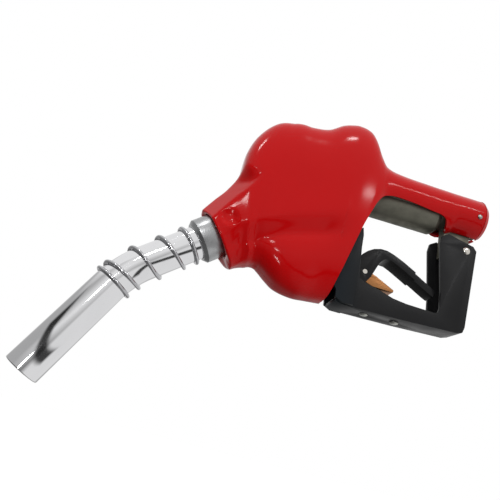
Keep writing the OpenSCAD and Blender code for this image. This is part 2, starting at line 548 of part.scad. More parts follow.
module guard_screws() color([0.7, 0.7, 0.7]) from_datum() {
    for (s = [-1, 1]) {
        pin_y(-129, -46, 2, s > 0 ? 4 : -13.05, s > 0 ? 13.05 : -4);
        pin_y(-129, -46, 3.6, s > 0 ? 13.05 : -14.8, s > 0 ? 14.8 : -13.05);
    }
}
module rear_pin() color([0.88, 0.86, 0.84]) from_datum() {
    pin_y(-rear_pin_back, -rear_pin_drop, rear_pin_r, -guard_half - 0.8, guard_half + 0.8);
}
module hold_open_rack() color([0.55, 0.55, 0.56]) from_datum() {
    difference() {
        plate(-5.6, 5.6) polygon(concat(
            [[-92, -97.2]],
            [for (k = [0:4]) each [[-90 + k * 7, -94.4], [-88.6 + k * 7, -92.4], [-86 + k * 7, -92.4],
                [-85.4 + k * 7, -94.4]]],
            [[-54, -94.4], [-54, -96.3], [-60, -96.65]]));
        for (x = [-84, -61]) translate([x, 0, -110]) cylinder(r = 1.7, h = 25);
    }
}
module rack_rivets() color([0.45, 0.45, 0.46]) from_datum() {
    for (x = [-84, -61]) {
        translate([x, 0, -99.4]) cylinder(r = 1.65, h = 7.4);
        translate([x, 0, -100.7]) cylinder(r = 3.2, h = 1.4);
    }
}
module inlet_strainer() color([0.75, 0.75, 0.7]) from_datum() {
    difference() {
        union() {
            bar_x(-48, -24, 9.4);
            bar_x(-inlet_depth - datum_x - 1.55, -inlet_depth - datum_x - 0.05, 11.2);
            bar_x(-27, -inlet_depth - datum_x - 0.1, 10.3);
        }
        bar_x(-47, 0, 8.8);
        for (x = [-44:5:-29]) for (a = [0:60:300]) translate([x, 0, 0]) rotate([a, 0, 0]) cylinder(r = 1.6, h = 20, $fn = 12);
    }
}

body_casting();
hand_cover();
cover_rivets();
spout_collar();
collar_set_screw();
spout_tube();
spout_o_rings();
vent_tube();
vent_ferrule();
spout_spring();
check_seat();
check_guide();
check_poppet();
check_spring();
main_seat();
main_poppet();
poppet_seal();
valve_stem();
stem_packing();
packing_nut();
main_spring();
main_valve_cap();
cap_gasket();
diaphragm();
diaphragm_plate();
diaphragm_spring();
diaphragm_cap();
cap_screws();
latch_pin();
latch_balls();
latch_ring();
plunger();
plunger_spring();
plunger_pin();
lever();
lever_roller();
roller_pin();
hold_open_clip();
clip_pin();
clip_spring();
guard();
guard_screws();
rear_pin();
hold_open_rack();
rack_rivets();
inlet_strainer();
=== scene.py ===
"""Looks of an automatic shut-off fuel nozzle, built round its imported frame.

Every length in the classes is in millimetres, as on a drawing, and is turned to metres where a mesh is made.
X runs along the handle with the hose side at 0 and the spout at the far end of -X. Z is up.
"""

import logging
import math
from dataclasses import dataclass
from enum import Enum

import bmesh
import bpy
import numpy as np
from mathutils import Matrix, Vector


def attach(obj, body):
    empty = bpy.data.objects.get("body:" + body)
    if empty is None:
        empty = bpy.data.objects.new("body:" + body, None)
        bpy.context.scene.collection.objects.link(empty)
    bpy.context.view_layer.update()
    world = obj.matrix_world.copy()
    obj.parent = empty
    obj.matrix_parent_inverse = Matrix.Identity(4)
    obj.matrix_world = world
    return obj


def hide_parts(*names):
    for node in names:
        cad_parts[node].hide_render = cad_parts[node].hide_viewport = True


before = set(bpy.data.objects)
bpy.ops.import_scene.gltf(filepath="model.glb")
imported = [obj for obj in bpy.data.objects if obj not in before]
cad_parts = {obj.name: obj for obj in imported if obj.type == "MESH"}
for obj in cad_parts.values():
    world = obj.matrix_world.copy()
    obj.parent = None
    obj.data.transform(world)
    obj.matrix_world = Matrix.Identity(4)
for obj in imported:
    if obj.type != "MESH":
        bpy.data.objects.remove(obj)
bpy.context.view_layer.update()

MM = 0.001
log = logging.getLogger("nozzle")


class Body(Enum):
    """Bodies that new pieces ride on, by their names in the frame."""

    NOZZLE = "nozzle"
    LEVER = "lever"
    CLIP = "clip"


class Side(Enum):
    """The two sides of the nozzle's middle plane."""

    NEAR = -1
    FAR = 1


# Finishes ---------------------------------------------------------------------------------------


def linear(hex_colour: str) -> tuple[float, float, float, float]:
    """Turns an sRGB hex colour into the linear colour that a socket holds.

    Args:
        hex_colour: six hex digits after a hash.

    Returns:
        Red, green, blue and an alpha of 1.
    """
    parts = [int(hex_colour[i : i + 2], 16) / 255 for i in (1, 3, 5)]
    r, g, b = [p / 12.92 if p <= 0.04045 else ((p + 0.055) / 1.055) ** 2.4 for p in parts]
    return r, g, b, 1.0


def add(
    tree: bpy.types.NodeTree, kind: str, values: dict | None = None, **settings: object
) -> bpy.types.Node:
    """Adds one node to a tree, with its settings, values and links.

    Args:
        tree: the tree that gets the node.
        kind: the node's type name.
        values: what each input holds, by name or number: a number, a colour, or a socket to link from.
        settings: the node's own properties.

    Returns:
        The new node.
    """
    node = tree.nodes.new(kind)
    for name, value in settings.items():
        setattr(node, name, value)
    for key, value in (values or {}).items():
        if isinstance(value, bpy.types.NodeSocket):
            tree.links.new(value, node.inputs[key])
        else:
            node.inputs[key].default_value = value
    return node


def span(
    tree: bpy.types.NodeTree,
    value: bpy.types.NodeSocket,
    start: tuple[float, float],
    end: tuple[float, float] = (0.0, 1.0),
) -> bpy.types.NodeSocket:
    """Maps one range of a value onto another, and holds it at both ends.

    Args:
        tree: the tree that gets the node.
        value: the socket to map.
        start: two values of it.
        end: what those two become.

    Returns:
        The mapped value's socket.
    """
    node = add(tree, "ShaderNodeMapRange", {
        "Value": value, "From Min": start[0], "From Max": start[1], "To Min": end[0], "To Max": end[1]})
    return node.outputs[0]


def math_node(
    tree: bpy.types.NodeTree, operation: str, *values: bpy.types.NodeSocket
) -> bpy.types.NodeSocket:
    """Does one sum with sockets.

    Args:
        tree: the tree that gets the node.
        operation: the sum's name.
        values: the sockets that go in.

    Returns:
        The result's socket.
    """
    return add(tree, "ShaderNodeMath", dict(enumerate(values)), operation=operation).outputs[0]


@dataclass(frozen=True)
class Finish:
    """One surface finish: what it is made of, how it was made, and the detail that leaves on it."""

    title: str
    colour: str
    patches: str
    roughness: float
    spread: float = 0.05
    metallic: float = 0.0
    ior: float = 1.5
    specular: float = 0.5
    glow: float = 0.0
    patch_mm: float = 25.0
    grain_mm: float = 1.0
    grain_depth_mm: float = 0.01
    stretch: tuple[float, float, float] = (1.0, 1.0, 1.0)
    turn_deg: float = 0.0

    def colours(
        self, tree: bpy.types.NodeTree, place: bpy.types.NodeSocket, patch: bpy.types.NodeSocket
    ) -> bpy.types.NodeSocket:
        """Mixes the base colour with its patches.

        Args:
            tree: the material's tree.
            place: not used.
            patch: the slow noise that tells patches from base.

        Returns:
            The colour socket.
        """
        blend = {0: patch, 6: linear(self.colour), 7: linear(self.patches)}
        return add(tree, "ShaderNodeMix", blend, data_type="RGBA").outputs[2]

    def noise(
        self, tree: bpy.types.NodeTree, place: bpy.types.NodeSocket, size_mm: float, detail: int
    ) -> bpy.types.NodeSocket:
        """Adds a noise of a given size.

        Args:
            tree: the material's tree.
            place: position on the piece.
            size_mm: size of its largest blotches.
            detail: how many finer layers it has.

        Returns:
            The noise's socket.
        """
        values = {"Vector": place, "Scale": 1 / (size_mm * MM), "Detail": detail}
        return add(tree, "ShaderNodeTexNoise", values).outputs["Fac"]

    def material(self) -> bpy.types.Material:
        """Builds the material once.

        Returns:
            The new material, or the one already built.
        """
        made = bpy.data.materials.get(self.title)
        if made:
            return made
        made = bpy.data.materials.new(self.title)
        made.use_nodes = True
        tree = made.node_tree
        tree.nodes.clear()
        place = add(tree, "ShaderNodeTexCoord").outputs["Object"]
        turn = (0, math.radians(self.turn_deg), 0)
        mapping = add(tree, "ShaderNodeMapping", {"Vector": place, "Scale": self.stretch, "Rotation": turn})
        turned = mapping.outputs[0]
        patch = self.noise(tree, turned, self.patch_mm, 4)
        grain = self.noise(tree, turned, self.grain_mm, 3)
        low = max(0.0, self.roughness - self.spread)
        high = min(1.0, self.roughness + self.spread)
        bump = add(tree, "ShaderNodeBump", {
            "Height": grain, "Strength": 1.0, "Distance": self.grain_depth_mm * MM})
        shader = add(tree, "ShaderNodeBsdfPrincipled", {
            "Base Color": self.colours(tree, place, patch),
            "Roughness": span(tree, patch, (0.3, 0.7), (low, high)),
            "Normal": bump.outputs[0],
            "Metallic": self.metallic,
            "IOR": self.ior,
            "Specular IOR Level": self.specular,
            "Emission Strength": self.glow,
        })
        add(tree, "ShaderNodeOutputMaterial", {"Surface": shader.outputs[0]})
        return made


@dataclass(frozen=True)
class ReflectedTintMoulding(Finish):
    """A moulding with a painted reflection: its colour turns from a reflected bluish tint at the front to its
    own along the handle.
    """

    # Tint of the painted reflection at the front; it gives way to the base colour between fade_from_mm and
    # fade_to_mm along X
    front: str = "#18242C"
    fade_from_mm: float = -122.0
    fade_to_mm: float = -88.0

    def colours(
        self, tree: bpy.types.NodeTree, place: bpy.types.NodeSocket, patch: bpy.types.NodeSocket
    ) -> bpy.types.NodeSocket:
        """Adds a painted reflection to the patchy base colour: a bluish tint at the front that fades out
        along X.

        Args:
            tree: the material's tree.
            place: position on the piece.
            patch: the slow noise that tells patches from base.

        Returns:
            The colour socket.
        """
        base = super().colours(tree, place, patch)
        axis = add(tree, "ShaderNodeSeparateXYZ", {0: place})
        # Painted reflection: 0 at the front, where the bluish tint is full, 1 behind, where only the base
        # colour is left
        reflection_fade = span(tree, axis.outputs["X"], (self.fade_from_mm * MM, self.fade_to_mm * MM))
        blend = {0: reflection_fade, 6: linear(self.front), 7: base}
        return add(tree, "ShaderNodeMix", blend, data_type="RGBA").outputs[2]


# Soft PVC dipped over the body: deep gloss with a faint orange peel about 4 mm across
DIPPED_VINYL = Finish(
    "PVC plastisol, dip-moulded", "#C80609", "#BE0508", 0.12, 0.02, ior=1.53, specular=0.14,
    patch_mm=45, grain_mm=5, grain_depth_mm=0.006)
# Sand-cast grip: dull grey-green with a coarse skin
CAST_GRIP = Finish(
    "Aluminium, sand-cast", "#7F7D70", "#65645A", 0.52, 0.1, metallic=0.75,
    patch_mm=7, grain_mm=0.9, grain_depth_mm=0.07)
# Die-cast collar: satin and cloudy
DIE_CAST_COLLAR = Finish(
    "Zinc, die-cast and tumbled", "#B9BABB", "#8D8E8F", 0.3, 0.1, metallic=0.95,
    patch_mm=5, grain_mm=1.2, grain_depth_mm=0.03)
# Drawn tube, buffed: a mirror with faint lengthwise draw lines
POLISHED_TUBE = Finish(
    "Aluminium tube, drawn and polished", "#EDEDEE", "#E2E2E4", 0.06, 0.03, metallic=1.0,
    patch_mm=12, grain_mm=0.8, grain_depth_mm=0.0012, stretch=(1, 1, 0.05), turn_deg=-58)
# Springs: drawn wire, bright and a little streaky
BRIGHT_WIRE = Finish(
    "Spring steel wire, drawn bright", "#C9C9CB", "#A9A9AC", 0.16, 0.05, metallic=1.0,
    patch_mm=3, grain_mm=0.5, grain_depth_mm=0.004)
# Pins and balls: warm, bright plating
PLATED_STEEL = Finish(
    "Steel, nickel-plated", "#D8D3CB", "#C9C4BC", 0.12, 0.04, metallic=1.0,
    patch_mm=6, grain_mm=0.5, grain_depth_mm=0.002)
# Sliding parts: ground, with marks across their length
GROUND_STEEL = Finish(
    "Steel, ground", "#C4C4C6", "#AFAFB2", 0.24, 0.06, metallic=1.0,
    patch_mm=5, grain_mm=0.4, grain_depth_mm=0.004, stretch=(1, 6, 1))
# Rack, set screw and latch ring: dark oil finish
OILED_STEEL = Finish(
    "Steel, hardened and oiled", "#5C5B58", "#454442", 0.38, 0.08, metallic=0.9,
    patch_mm=4, grain_mm=0.6, grain_depth_mm=0.01)
# Screws and rivets: dull zinc
ZINC_SCREW = Finish(
    "Steel, zinc-plated", "#ABABA4", "#8F9089", 0.3, 0.08, metallic=1.0,
    patch_mm=2.5, grain_mm=0.5, grain_depth_mm=0.006)
# Valve parts: turned brass with fine tool rings
TURNED_BRASS = Finish(
    "Brass, turned", "#C9A55A", "#B8934A", 0.25, 0.06, metallic=1.0,
    patch_mm=5, grain_mm=0.4, grain_depth_mm=0.006, stretch=(1, 1, 5))
# Hold-open clip: pressed strip, rubbed along its length
BRONZE_STRIP = Finish(
    "Bronze strip, pressed", "#B98250", "#96623D", 0.3, 0.08, metallic=0.9,
    patch_mm=5, grain_mm=0.6, grain_depth_mm=0.008, stretch=(0.3, 1, 1))
# Guard: satin moulding, with a painted bluish reflection towards its front
BLACK_GUARD = ReflectedTintMoulding(
    "Nylon, moulded black", "#1D1D1E", "#232324", 0.34, 0.06, ior=1.53, specular=0.12,
    patch_mm=12, grain_mm=0.7, grain_depth_mm=0.012)
# Lever: the guard's nylon, rubbed smoother by hands
BLACK_LEVER = Finish(
    "Nylon, moulded satin black", "#1A1A1B", "#212122", 0.3, 0.06, ior=1.53, specular=0.12,
    patch_mm=9, grain_mm=0.6, grain_depth_mm=0.012)
# Seals, gasket and diaphragm
BLACK_RUBBER = Finish(
    "Nitrile rubber, moulded", "#1B1B1B", "#252525", 0.6, 0.08, ior=1.52,
    patch_mm=4, grain_mm=0.5, grain_depth_mm=0.01)
# Stem packing: waxy white
PACKING = Finish(
    "PTFE, pressed", "#E4E3DC", "#D6D5CD", 0.5, 0.06, ior=1.38,
    patch_mm=3, grain_mm=0.5, grain_depth_mm=0.006)
# Check poppet
BLACK_ACETAL = Finish(
    "Acetal, turned", "#222224", "#2B2B2D", 0.35, 0.06, ior=1.48,
    patch_mm=4, grain_mm=0.4, grain_depth_mm=0.005)
# Floor: a light table's matt top
PALE_FLOOR = Finish(
    "Opal acrylic light table", "#F6F6F6", "#F4F4F4", 0.9, 0.02,
    patch_mm=400, grain_mm=2, grain_depth_mm=0.001, glow=0.4)


# Mesh helpers -----------------------------------------------------------------------------------


def piece_from(
    name: str, points: np.ndarray, faces: list, finish: Finish, smooth: bool = True
) -> bpy.types.Object:
    """Makes one object from points in millimetres.

    Args:
        name: the piece's name.
        points: an array of shape (count, 3).
        faces: lists of point numbers.
        finish: its surface finish.
        smooth: whether its faces are shaded smooth.

    Returns:
        The object, at the origin and linked to the scene.
    """
    mesh = bpy.data.meshes.new(name)
    mesh.from_pydata((np.asarray(points, float) * MM).tolist(), [], faces)
    mesh.update()
    mesh.materials.append(finish.material())
    if smooth:
        mesh.shade_smooth()
    thing = bpy.data.objects.new(name, mesh)
    bpy.context.scene.collection.objects.link(thing)
    return thing


def settle(thing: bpy.types.Object, finish: Finish, sharp_deg: float = 40.0) -> bpy.types.Object:
    """Turns an object with modifiers into a plain mesh, shaded smooth with its sharp edges kept.

    Args:
        thing: the object, whose modifiers are applied and removed.
        finish: the finish that the plain mesh gets.
        sharp_deg: edges sharper than this angle stay sharp in shading.

    Returns:
        The same object with its final mesh.
    """
    graph = bpy.context.evaluated_depsgraph_get()
    mesh = bpy.data.meshes.new_from_object(thing.evaluated_get(graph))
    thing.modifiers.clear()
    if thing.type != "MESH":
        raise TypeError(f"{thing.name} is not a mesh")
    thing.data = mesh
    mesh.materials.clear()
    mesh.materials.append(finish.material())
    mesh.shade_smooth()
    mesh.set_sharp_from_angle(angle=math.radians(sharp_deg))
    return thing


def tube_faces(rings: int, sides: int, closed: bool = False) -> list[list[int]]:
    """Quads between neighbouring rings of points.

    Args:
        rings: how many rings there are.
        sides: how many points each ring has.
        closed: whether the last ring joins the first.

    Returns:
        Lists of four point numbers.
    """
    out = []
    for i in range(rings if closed else rings - 1):
        j = (i + 1) % rings
        for k in range(sides):
            n = (k + 1) % sides
            out.append([i * sides + k, i * sides + n, j * sides + n, j * sides + k])
    return out


def outward(thing: bpy.types.Object) -> bpy.types.Object:
    """Merges doubled points and turns every face of a closed mesh outward.

    Args:
        thing: the object whose mesh is changed.

    Returns:
        The same object.
    """
    shape = bmesh.new()
    shape.from_mesh(thing.data)
    bmesh.ops.remove_doubles(shape, verts=shape.verts, dist=1e-6)
    bmesh.ops.recalc_face_normals(shape, faces=shape.faces)
    shape.to_mesh(thing.data)
    shape.free()
    return thing


def eased(node: str, name: str, finish: Finish, ease_mm: float, body: Body, slot: str) -> bpy.types.Object:
    """Copies a CAD node and rounds its edges as moulding or tumbling leaves them.

    Args:
        node: the CAD node, which the copy replaces.
        name: the new piece's name.
        finish: its surface finish.
        ease_mm: width of the rounding.
        body: the body that it rides on.
        slot: the record's material slot.

    Returns:
        The rounded piece.
    """
    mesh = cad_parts[node].data.copy()
    shape = bmesh.new()
    shape.from_mesh(mesh)
    bmesh.ops.remove_doubles(shape, verts=shape.verts, dist=2e-6)
    bmesh.ops.dissolve_limit(shape, angle_limit=math.radians(0.6), verts=shape.verts, edges=shape.edges)
    shape.to_mesh(mesh)
    shape.free()
    thing = bpy.data.objects.new(name, mesh)
    bpy.context.scene.collection.objects.link(thing)
    ease = thing.modifiers.new("ease", "BEVEL")
    ease.width = ease_mm * MM
    ease.segments = 3
    ease.limit_method = "ANGLE"
    ease.angle_limit = math.radians(32)
    ease.use_clamp_overlap = True
    settle(thing, finish, 50)
    return placed(thing, body, slot, node)


def placed(thing: bpy.types.Object, body: Body, slot: str, *nodes: str) -> bpy.types.Object:
    """Lets a finished piece ride on its body and hides the CAD nodes that it replaces.

    Args:
        thing: the finished piece.
        body: the body that it rides on.
        slot: not used.
        nodes: the CAD nodes that it replaces.

    Returns:
        The same piece.
    """
    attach(thing, body.value)
    if nodes:
        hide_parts(*nodes)
    log.info("%s: %d faces on %s", thing.name, len(thing.data.polygons), body.value)
    return thing


def dress(finish: Finish, *nodes: str) -> None:
    """Gives CAD nodes that stay in view their finish.

    Args:
        finish: the finish for all of them.
        nodes: the nodes' names.
    """
    for node in nodes:
        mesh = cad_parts[node].data
        mesh.materials.clear()
        mesh.materials.append(finish.material())
        log.info("%s: %s", node, finish.title)


# Geometry Nodes ---------------------------------------------------------------------------------


def new_tree(
    name: str, inputs: list[tuple[str, str]]
) -> tuple[bpy.types.NodeTree, bpy.types.Node, bpy.types.Node]:
    """Starts a Geometry Nodes tree.

    Args:
        name: the tree's name.
        inputs: name and socket type of each input after the geometry.

    Returns:
        The tree, its input node and its output node.
    """
    tree = bpy.data.node_groups.new(name, "GeometryNodeTree")
    tree.interface.new_socket("Geometry", in_out="INPUT", socket_type="NodeSocketGeometry")
    for title, kind in inputs:
        tree.interface.new_socket(title, in_out="INPUT", socket_type=kind)
    tree.interface.new_socket("Geometry", in_out="OUTPUT", socket_type="NodeSocketGeometry")
    return tree, tree.nodes.new("NodeGroupInput"), tree.nodes.new("NodeGroupOutput")


def finish_tree(
    tree: bpy.types.NodeTree, start: bpy.types.Node, end: bpy.types.Node, shape: bpy.types.NodeSocket
) -> None:
    """Makes a tree's shape real, gives it the tree's finish and sends it out.

    Args:
        tree: the tree.
        start: its input node, which has a Finish.
        end: its output node.
        shape: the geometry to send out.
    """
    real = add(tree, "GeometryNodeRealizeInstances", {0: shape}).outputs[0]
    coated = add(tree, "GeometryNodeSetMaterial", {"Geometry": real, "Material": start.outputs["Finish"]})
    tree.links.new(coated.outputs[0], end.inputs[0])


def wire_tree() -> bpy.types.NodeTree:
    """Makes the tree that sweeps a round wire with flat ends along a line of edges.

    Returns:
        The tree.
    """
    tree, start, end = new_tree("Wire along a line", [
        ("Wire radius", "NodeSocketFloat"), ("Sides", "NodeSocketInt"), ("Finish", "NodeSocketMaterial")])
    line = add(tree, "GeometryNodeMeshToCurve", {0: start.outputs["Geometry"]})
    section = {"Resolution": start.outputs["Sides"], "Radius": start.outputs["Wire radius"]}
    ring = add(tree, "GeometryNodeCurvePrimitiveCircle", section, mode="RADIUS")
    swept = add(tree, "GeometryNodeCurveToMesh", {
        "Curve": line.outputs[0], "Profile Curve": ring.outputs[0], "Fill Caps": True})
    finish_tree(tree, start, end, swept.outputs[0])
    return tree


def head_tree() -> bpy.types.NodeTree:
    """Makes the tree that sets one head on every point, turned as the point's aim attribute says.

    Returns:
        The tree.
    """
    tree, start, end = new_tree("Heads on points", [
        ("Head", "NodeSocketObject"), ("Finish", "NodeSocketMaterial")])
    info = add(tree, "GeometryNodeObjectInfo", {"Object": start.outputs["Head"]}, transform_space="ORIGINAL")
    aim = add(tree, "GeometryNodeInputNamedAttribute", {"Name": "aim"}, data_type="FLOAT_VECTOR")
    turn = add(tree, "FunctionNodeAlignRotationToVector", {"Vector": aim.outputs[0]}, axis="Z")
    spread = add(tree, "GeometryNodeInstanceOnPoints", {
        "Points": start.outputs["Geometry"],
        "Instance": info.outputs["Geometry"],
        "Rotation": turn.outputs[0],
    })
    finish_tree(tree, start, end, spread.outputs[0])
    return tree


def grow(thing: bpy.types.Object, tree: bpy.types.NodeTree, values: dict[str, object]) -> None:
    """Adds a Geometry Nodes modifier and sets its inputs by their identifiers.

    Args:
        thing: the object that gets it.
        tree: the tree.
        values: what each named input holds.
    """
    modifier = thing.modifiers.new(tree.name, "NODES")
    modifier.node_group = tree
    for socket in tree.interface.items_tree:
        if socket.in_out == "INPUT" and socket.name in values:
            modifier[socket.identifier] = values[socket.name]


def coil(name: str, path: np.ndarray, wire_r: float, body: Body, node: str) -> bpy.types.Object:
    """Winds a spring along a path and lets it stand for its CAD node.

    Args:
        name: the piece's name.
        path: points in millimetres.
        wire_r: the wire's radius.
        body: the body that it rides on.
        node: the CAD node that it replaces.

    Returns:
        The spring.
    """
    mesh = bpy.data.meshes.new(name)
    mesh.from_pydata((path * MM).tolist(), [(i, i + 1) for i in range(len(path) - 1)], [])
    thing = bpy.data.objects.new(name, mesh)
    bpy.context.scene.collection.objects.link(thing)
    tree = bpy.data.node_groups.get("Wire along a line") or wire_tree()
    grow(thing, tree, {"Wire radius": wire_r * MM, "Sides": 16, "Finish": BRIGHT_WIRE.material()})
    settle(thing, BRIGHT_WIRE, 60)
    return placed(thing, body, "spring_wire", node)


def lathe(name: str, profile: list[tuple[float, float]], finish: Finish, sides: int = 48) -> bpy.types.Object:
    """Turns a profile about local Z.

    Args:
        name: the piece's name.
        profile: radius and height of each point, from the lower pole to the upper one.
        finish: its finish.
        sides: points around.

    Returns:
        The turned object.
    """
    angles = np.arange(sides) * 2 * math.pi / sides
    points = [(r * math.cos(a), r * math.sin(a), z) for r, z in profile for a in angles]
    thing = piece_from(name, np.array(points), tube_faces(len(profile), sides), finish)
    return outward(thing)


def heads(name: str, profile: list[tuple[float, float]], spots: list[tuple], finish: Finish, body: Body,
          slot: str, *nodes: str) -> bpy.types.Object:
    """Sets turned heads, such as rivets or screws, at several spots.

    Args:
        name: the piece's name.
        profile: radius and height of the head's points.
        spots: pairs of a place and the direction that the head faces.
        finish: its finish.
        body: the body that they ride on.
        slot: the record's material slot.
        nodes: the CAD nodes that they replace.

    Returns:
        All the heads as one piece.
    """
    pattern = lathe(name + "_pattern", profile, finish)
    mesh = bpy.data.meshes.new(name)
    mesh.from_pydata([[c * MM for c in place] for place, _ in spots], [], [])
    aim = mesh.attributes.new("aim", "FLOAT_VECTOR", "POINT")
    for i, (_, way) in enumerate(spots):
        aim.data[i].vector = way
    thing = bpy.data.objects.new(name, mesh)
    bpy.context.scene.collection.objects.link(thing)
    tree = bpy.data.node_groups.get("Heads on points") or head_tree()
    grow(thing, tree, {"Head": pattern, "Finish": finish.material()})
    settle(thing, finish, 40)
    bpy.data.objects.remove(pattern)
    return placed(thing, body, slot, *nodes)


# Numbers along a path -----------------------------------------------------------------------------


def flow(rows: np.ndarray, x: np.ndarray) -> np.ndarray:
    """Smooth values between rows, which are sorted by their first column.

    Args:
        rows: the rows; the first column is the station.
        x: stations at which values are wanted.

    Returns:
        One row per station.
    """
    x = np.atleast_1d(x).astype(float)
    i = np.clip(np.searchsorted(rows[:, 0], x, side="right") - 1, 0, len(rows) - 2)
    before, after = np.maximum(i - 1, 0), np.minimum(i + 2, len(rows) - 1)
    width = (rows[i + 1, 0] - rows[i, 0])[:, None]
    q = (x[:, None] - rows[i, 0][:, None]) / width
    into = (rows[i + 1] - rows[before]) / (rows[i + 1, 0] - rows[before, 0])[:, None] * width
    out = (rows[after] - rows[i]) / (rows[after, 0] - rows[i, 0])[:, None] * width
    return (rows[i] * (2 * q**3 - 3 * q**2 + 1) + into * (q**3 - 2 * q**2 + q)
            + rows[i + 1] * (3 * q**2 - 2 * q**3) + out * (q**3 - q**2))


def ramp(x: np.ndarray, low: float, high: float) -> np.ndarray:
    """Steps smoothly from 0 at low to 1 at high; low may be the larger number.

    Args:
        x: values to step at.
        low: where the step starts, a number or one per value.
        high: where it ends.

    Returns:
        Numbers from 0 to 1.
    """
    t = np.clip((np.asarray(x, float) - low) / (high - low), 0, 1)
    return t * t * (3 - 2 * t)


# Sub-assemblies -----------------------------------------------------------------------------------


@dataclass(frozen=True)
class Facet:
    """A flat that the cover's mould has, cut off its rounded side along a crease."""

    start: tuple[float, float, float]
    end: tuple[float, float, float]
    lean_deg: float
    # The flat runs out between these places along X and Z: gone at the first, full at the second
    x_fade: tuple[float, float]
    z_fade: tuple[float, float]
    fillet: float = 0.3
    # It also runs out towards the middle plane, between these distances from it
    ridge: tuple[float, float] = (1.0, 5.0)

    def cut(self, points: np.ndarray) -> np.ndarray:
        """Presses points that stand outside the flat onto it, alike on both sides.

        Args:
            points: the cover's outer points.

        Returns:
            The points after the cut.
        """
        start, end = np.array(self.start), np.array(self.end)
        along = (end - start) / np.linalg.norm(end - start)
        out = np.array([0.0, 1.0, 0.0])
        out = out - (out @ along) * along
        out /= np.linalg.norm(out)
        lean = math.radians(self.lean_deg)
        normal = math.cos(lean) * out + math.sin(lean) * np.cross(along, out)
        near = points.copy()
        near[..., 1] = np.abs(points[..., 1])
        stand = (near - start) @ normal
        press = self.fillet * np.logaddexp(0, stand / self.fillet)
        press = press * ramp(near[..., 1], *self.ridge) * ramp(points[..., 2], *self.z_fade)
        press = press * ramp(points[..., 0], *self.x_fade)
        moved = near - press[..., None] * normal
        moved[..., 1] = np.sign(points[..., 1]) * np.maximum(moved[..., 1], 0)
        return moved


